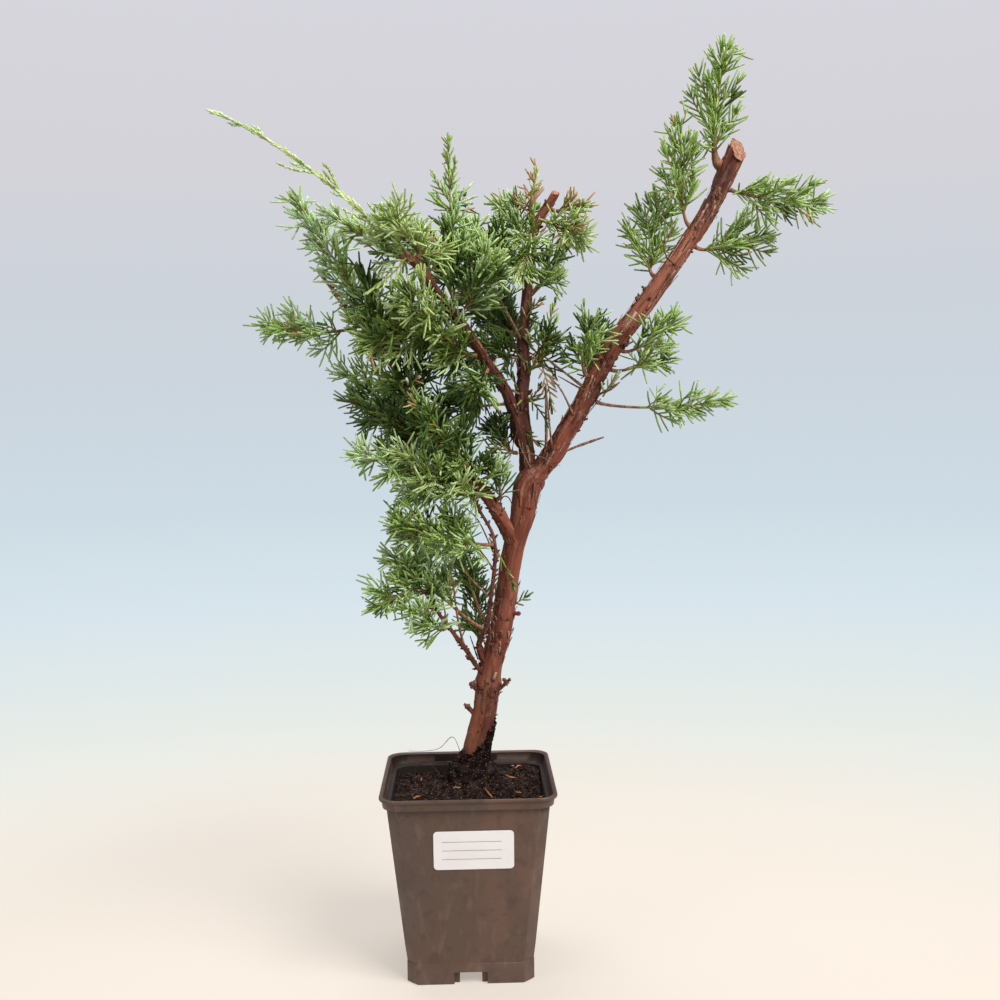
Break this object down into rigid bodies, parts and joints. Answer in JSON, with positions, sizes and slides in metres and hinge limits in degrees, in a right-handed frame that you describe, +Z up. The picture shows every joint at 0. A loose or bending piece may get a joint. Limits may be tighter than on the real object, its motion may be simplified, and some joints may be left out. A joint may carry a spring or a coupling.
{
  "type": "kishu juniper bonsai",
  "caption": "Young kishu juniper bonsai with a leaning trunk, forked boughs and needle sprays, in a square plastic nursery pot with a blank label.",
  "frame": {"origin": "middle of the flat pad on the underside of the pot", "axes": "+Z up, -Y to the front with the label, +X to the right as seen from the front"},
  "size_m": [0.3034, 0.1406, 0.48],
  "materials": {
    "pot": "matte dark brown moulded plastic with faint rusty stains",
    "soil": "damp dark peat with short fibres",
    "label": "white satin sticker, blank",
    "bark": "red-brown fibrous bark that flakes in strips",
    "leaf": "mid green juniper needles, satin",
    "leaf_fresh": "young yellow-green juniper needles, satin",
    "leaf_shade": "blue-green juniper needles of the shaded side, satin"
  },
  "bodies": {
    "root": {"pot": "pot", "soil": "soil", "label": "label", "trunk": "bark", "right_bough": "bark", "centre_bough": "bark", "left_bough": "bark", "low_left_bough": "bark", "inner_stem": "bark", "low_stem": "bark", "top_spray": "leaf", "upper_plume": "leaf", "upper_fan": "leaf", "shoulder_spray": "leaf", "right_wing": "leaf", "right_tuft": "leaf", "right_inner_tuft": "leaf", "low_right_spray": "leaf", "bough_left_tuft": "leaf", "bough_back_spray": "leaf_shade", "centre_right_spray": "leaf", "cut_tip_twig": "leaf", "centre_top_right": "leaf_fresh", "hanging_frond": "leaf_fresh", "centre_back_right": "leaf", "centre_left_spray": "leaf", "centre_top_left": "leaf", "top_spire": "leaf", "centre_inner_left": "leaf_shade", "centre_front_left": "leaf", "crown_back": "leaf_shade", "left_low_spray": "leaf_shade", "dark_shoot": "leaf_shade", "left_spire": "leaf", "left_top_fan": "leaf_fresh", "left_tip_tuft": "leaf_fresh", "long_whip": "leaf_fresh", "short_whip": "leaf_fresh", "drooping_spray": "leaf_fresh", "left_hanging": "leaf", "front_crown": "leaf", "front_left_crown": "leaf_fresh", "light_right_frond": "leaf", "upright_left": "leaf", "far_left_spray": "leaf", "left_side_spray": "leaf", "left_under_spray": "leaf_shade", "left_bottom_spray": "leaf", "light_spray": "leaf_fresh", "light_inner_spray": "leaf", "left_back_spray": "leaf_shade", "upper_inner_left": "leaf", "inner_stem_tuft": "leaf", "mid_spray": "leaf", "mid_under_spray": "leaf", "mid_back_spray": "leaf_shade", "low_spray": "leaf", "low_under_spray": "leaf", "low_upright_twig": "leaf", "low_back_tuft": "leaf_shade"}
  },
  "joints": []
}
